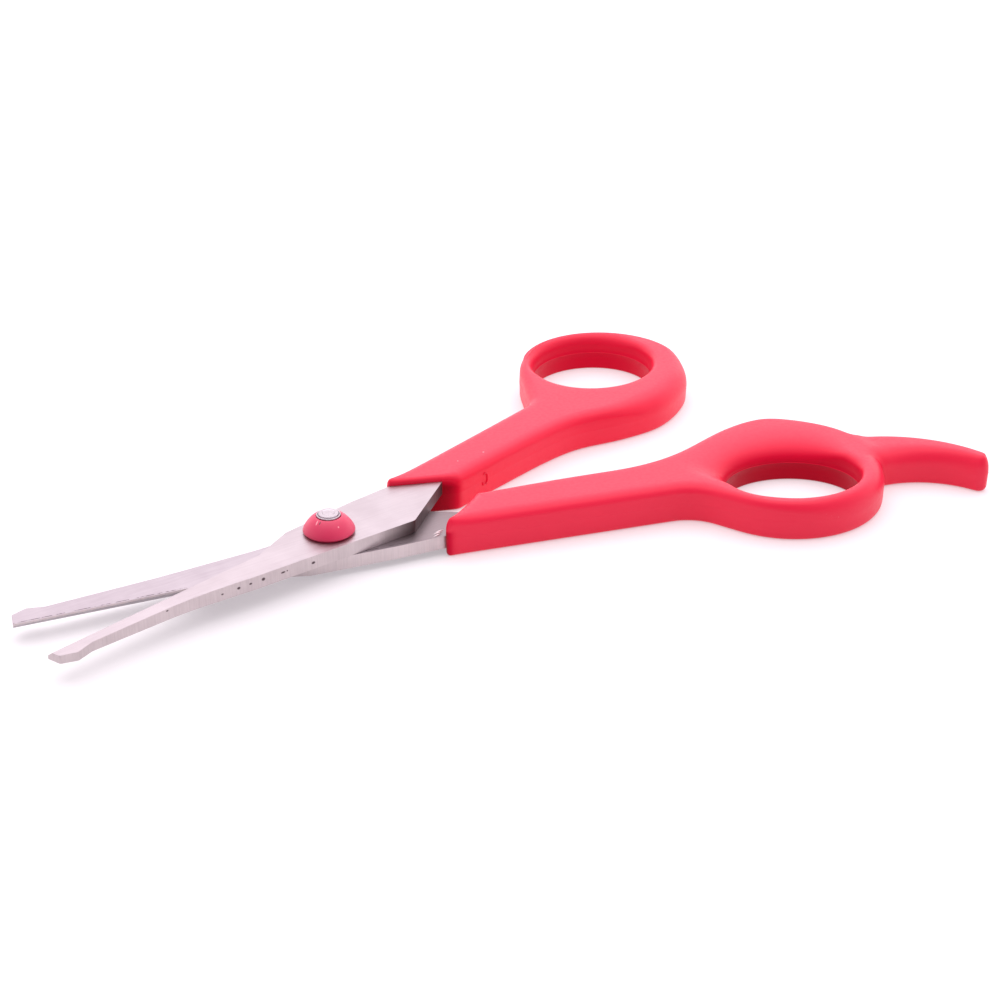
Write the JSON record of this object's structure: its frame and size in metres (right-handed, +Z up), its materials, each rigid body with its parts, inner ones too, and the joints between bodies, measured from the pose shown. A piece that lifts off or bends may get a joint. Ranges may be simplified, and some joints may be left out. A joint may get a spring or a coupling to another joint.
{
  "type": "scissor nail clipper",
  "caption": "Blunt-tipped steel scissors for trimming pets' nails, with moulded plastic ring handles, a curved finger rest and a domed pivot.",
  "frame": {"origin": "on the pivot axis, at the underside of the rivet's head, which lies in the plane that the clipper rests on", "axes": "+X from the pivot towards the handles, midway between the two halves; +Z up along the pivot axis; +Y towards the thumb handle"},
  "size_m": [0.1665, 0.0891, 0.0096],
  "materials": {
    "blade_steel": "ground stainless steel with fine grind marks",
    "handle_plastic": "satin moulded plastic",
    "cap_plastic": "satin moulded plastic, slightly worn",
    "rivet_steel": "bright turned steel",
    "spring_steel": "dull spring steel"
  },
  "bodies": {
    "finger_half": {"lower_blade": "blade_steel", "finger_handle": "handle_plastic", "pivot_rivet": "rivet_steel", "pivot_cap": "cap_plastic", "head_washer": "rivet_steel", "tension_washer": "spring_steel"},
    "thumb_half": {"upper_blade": "blade_steel", "thumb_handle": "handle_plastic"}
  },
  "joints": [
    {"name": "blade_pivot", "type": "hinge", "parent": "finger_half", "child": "thumb_half", "pos_m": [0, 0, 0], "axis": [0, 0, 1], "range_deg": [-12, 60]}
  ]
}
